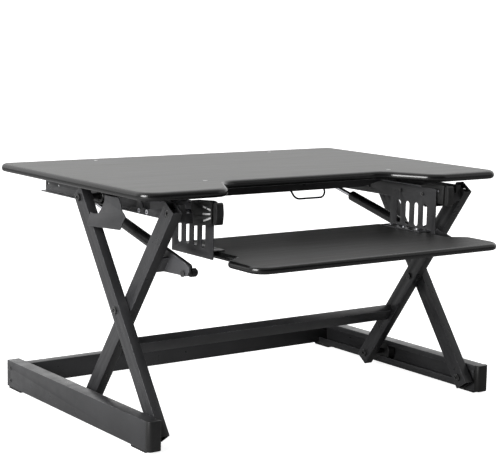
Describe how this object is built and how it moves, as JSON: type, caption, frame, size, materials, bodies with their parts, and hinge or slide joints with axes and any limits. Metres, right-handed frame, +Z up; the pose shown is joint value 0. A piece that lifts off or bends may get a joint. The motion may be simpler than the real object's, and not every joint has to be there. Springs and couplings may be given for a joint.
{
  "type": "standing desk converter",
  "caption": "Desktop riser: folding scissor frame with gas springs, a notched worktop, squeeze release handles and a hanging keyboard tray on slides.",
  "frame": {"origin": "centre of the base's footprint, on the plane that the rubber feet rest on", "axes": "+X to the user's right, +Y to the rear, +Z up"},
  "size_m": [0.952, 0.795, 0.5204],
  "materials": {
    "worktop": "grey laminate over board, black edge",
    "tray": "dark grey laminate over board, black edge",
    "frame": "dark charcoal powder coat, fine texture",
    "legs": "dark charcoal powder coat, satin",
    "black_plastic": "moulded black, fine grain",
    "roller_plastic": "smooth black nylon",
    "rubber": "matt black",
    "bolt_steel": "zinc plated",
    "bolt_black": "black oxide",
    "slide_steel": "zinc plated, lightly oiled",
    "spring_black": "gloss black paint",
    "rod_chrome": "polished",
    "plug_plastic": "pale grey"
  },
  "bodies": {
    "base": {"left_base_rail": "frame", "right_base_rail": "frame", "rear_cross_member": "frame", "rail_end_caps": "black_plastic", "rubber_feet": "rubber", "rail_pivot_brackets": "frame", "lower_pivot_bolts": "bolt_black", "rail_spacers": "bolt_steel", "rail_screws": "bolt_steel"},
    "outer_legs": {"left_outer_leg": "legs", "right_outer_leg": "legs", "upper_roller_axles": "bolt_black", "cross_pivot_bolts": "bolt_black"},
    "left_upper_roller": {"left_upper_roller": "roller_plastic"},
    "right_upper_roller": {"right_upper_roller": "roller_plastic"},
    "inner_legs": {"left_inner_leg": "legs", "right_inner_leg": "legs", "leg_crossbar": "legs", "cross_washers": "bolt_steel", "lower_roller_axles": "bolt_steel", "left_spring_arm": "frame", "right_spring_arm": "frame", "spring_arm_pins": "bolt_steel"},
    "left_lower_roller": {"left_lower_roller": "roller_plastic"},
    "right_lower_roller": {"right_lower_roller": "roller_plastic"},
    "left_spring_cylinder": {"left_gas_cylinder": "spring_black"},
    "right_spring_cylinder": {"right_gas_cylinder": "spring_black"},
    "left_spring_rod": {"left_gas_rod": "rod_chrome"},
    "right_spring_rod": {"right_gas_rod": "rod_chrome"},
    "platform": {"worktop": "worktop", "left_side_channel": "frame", "right_side_channel": "frame", "pivot_gussets": "frame", "front_cross_strip": "frame", "rear_cross_strip": "frame", "upper_pivot_bolts": "bolt_steel", "spring_top_brackets": "frame", "side_guard": "frame", "frame_fasteners": "bolt_steel", "left_slide_rail": "slide_steel", "right_slide_rail": "slide_steel", "slide_brackets": "frame", "worktop_plugs": "plug_plastic", "left_handle_housing": "black_plastic", "right_handle_housing": "black_plastic", "lever_pins": "bolt_steel", "cable_adjusters": "bolt_steel", "release_cables": "rubber", "cable_clip": "plug_plastic"},
    "left_release_lever": {"left_release_lever": "black_plastic"},
    "right_release_lever": {"right_release_lever": "black_plastic"},
    "left_valve_lever": {"left_valve_lever": "black_plastic"},
    "right_valve_lever": {"right_valve_lever": "black_plastic"},
    "tray_carriage": {"keyboard_tray": "tray", "left_tray_hanger": "frame", "right_tray_hanger": "frame", "slide_runners": "slide_steel", "hanger_bolts": "bolt_black", "tray_screws": "bolt_steel"},
    "slide_cages": {"slide_ball_cages": "slide_steel"}
  },
  "joints": [
    {"name": "fold", "type": "hinge", "parent": "base", "child": "outer_legs", "pos_m": [0, -0.276, 0.036], "axis": [-1, 0, 0], "range_deg": [0, 45.66]},
    {"name": "inner_leg_turn", "type": "hinge", "parent": "outer_legs", "child": "inner_legs", "pos_m": [0, -0.12287, 0.2535], "axis": [-1, 0, 0], "range_deg": [-92, 1]},
    {"name": "platform_level", "type": "hinge", "parent": "inner_legs", "child": "platform", "pos_m": [0, -0.276, 0.471], "axis": [-1, 0, 0], "range_deg": [-0.5, 46]},
    {"name": "left_upper_roller_spin", "type": "hinge", "parent": "outer_legs", "child": "left_upper_roller", "pos_m": [-0.373, 0.03027, 0.471], "axis": [-1, 0, 0], "range_deg": [-875.8, 0]},
    {"name": "left_lower_roller_spin", "type": "hinge", "parent": "inner_legs", "child": "left_lower_roller", "pos_m": [-0.4455, 0.03027, 0.036], "axis": [-1, 0, 0], "range_deg": [0, 522.2]},
    {"name": "left_spring_turn", "type": "hinge", "parent": "inner_legs", "child": "left_spring_cylinder", "pos_m": [-0.339, -0.277, 0.349], "axis": [-1, 0, 0], "range_deg": [-0.5, 48]},
    {"name": "left_spring_stroke", "type": "slide", "parent": "left_spring_cylinder", "child": "left_spring_rod", "axis": [0, 0.9708, 0.24], "range_m": [-0.096, 0.0005]},
    {"name": "left_release_squeeze", "type": "hinge", "parent": "platform", "child": "left_release_lever", "pos_m": [-0.311, -0.294, 0.48], "axis": [1, 0, 0], "range_deg": [0, 12], "stiffness_Nm_per_rad": 0.4, "springref_deg": -2.86},
    {"name": "left_valve_press", "type": "hinge", "parent": "platform", "child": "left_valve_lever", "pos_m": [-0.339, 0.21, 0.488], "axis": [-1, 0, 0], "range_deg": [0, 8]},
    {"name": "right_upper_roller_spin", "type": "hinge", "parent": "outer_legs", "child": "right_upper_roller", "pos_m": [0.373, 0.03027, 0.471], "axis": [-1, 0, 0], "range_deg": [-875.8, 0]},
    {"name": "right_lower_roller_spin", "type": "hinge", "parent": "inner_legs", "child": "right_lower_roller", "pos_m": [0.4455, 0.03027, 0.036], "axis": [-1, 0, 0], "range_deg": [0, 522.2]},
    {"name": "right_spring_turn", "type": "hinge", "parent": "inner_legs", "child": "right_spring_cylinder", "pos_m": [0.339, -0.277, 0.349], "axis": [-1, 0, 0], "range_deg": [-0.5, 48]},
    {"name": "right_spring_stroke", "type": "slide", "parent": "right_spring_cylinder", "child": "right_spring_rod", "axis": [0, 0.9708, 0.24], "range_m": [-0.096, 0.0005]},
    {"name": "right_release_squeeze", "type": "hinge", "parent": "platform", "child": "right_release_lever", "pos_m": [0.311, -0.294, 0.48], "axis": [1, 0, 0], "range_deg": [0, 12], "stiffness_Nm_per_rad": 0.4, "springref_deg": -2.86},
    {"name": "right_valve_press", "type": "hinge", "parent": "platform", "child": "right_valve_lever", "pos_m": [0.339, 0.21, 0.488], "axis": [-1, 0, 0], "range_deg": [0, 8]},
    {"name": "tray_slide", "type": "slide", "parent": "platform", "child": "tray_carriage", "axis": [0, 1, 0], "range_m": [0, 0.165]},
    {"name": "slide_cage_travel", "type": "slide", "parent": "platform", "child": "slide_cages", "axis": [0, 1, 0], "range_m": [0, 0.083]}
  ],
  "couplings": [
    {"joint": "inner_leg_turn", "follows": "fold", "ratio": -2},
    {"joint": "platform_level", "follows": "fold", "ratio": 1},
    {"joint": "left_upper_roller_spin", "follows": "fold", "ratio": -19.071},
    {"joint": "left_lower_roller_spin", "follows": "fold", "ratio": 11.326},
    {"joint": "left_spring_turn", "follows": "fold", "ratio": 1.024},
    {"joint": "left_spring_stroke", "follows": "fold", "m_per_rad": -0.118},
    {"joint": "left_valve_press", "follows": "left_release_squeeze", "ratio": 0.6},
    {"joint": "right_upper_roller_spin", "follows": "fold", "ratio": -19.071},
    {"joint": "right_lower_roller_spin", "follows": "fold", "ratio": 11.326},
    {"joint": "right_spring_turn", "follows": "fold", "ratio": 1.024},
    {"joint": "right_spring_stroke", "follows": "fold", "m_per_rad": -0.118},
    {"joint": "right_valve_press", "follows": "right_release_squeeze", "ratio": 0.6},
    {"joint": "slide_cage_travel", "follows": "tray_slide", "ratio": 0.5}
  ]
}
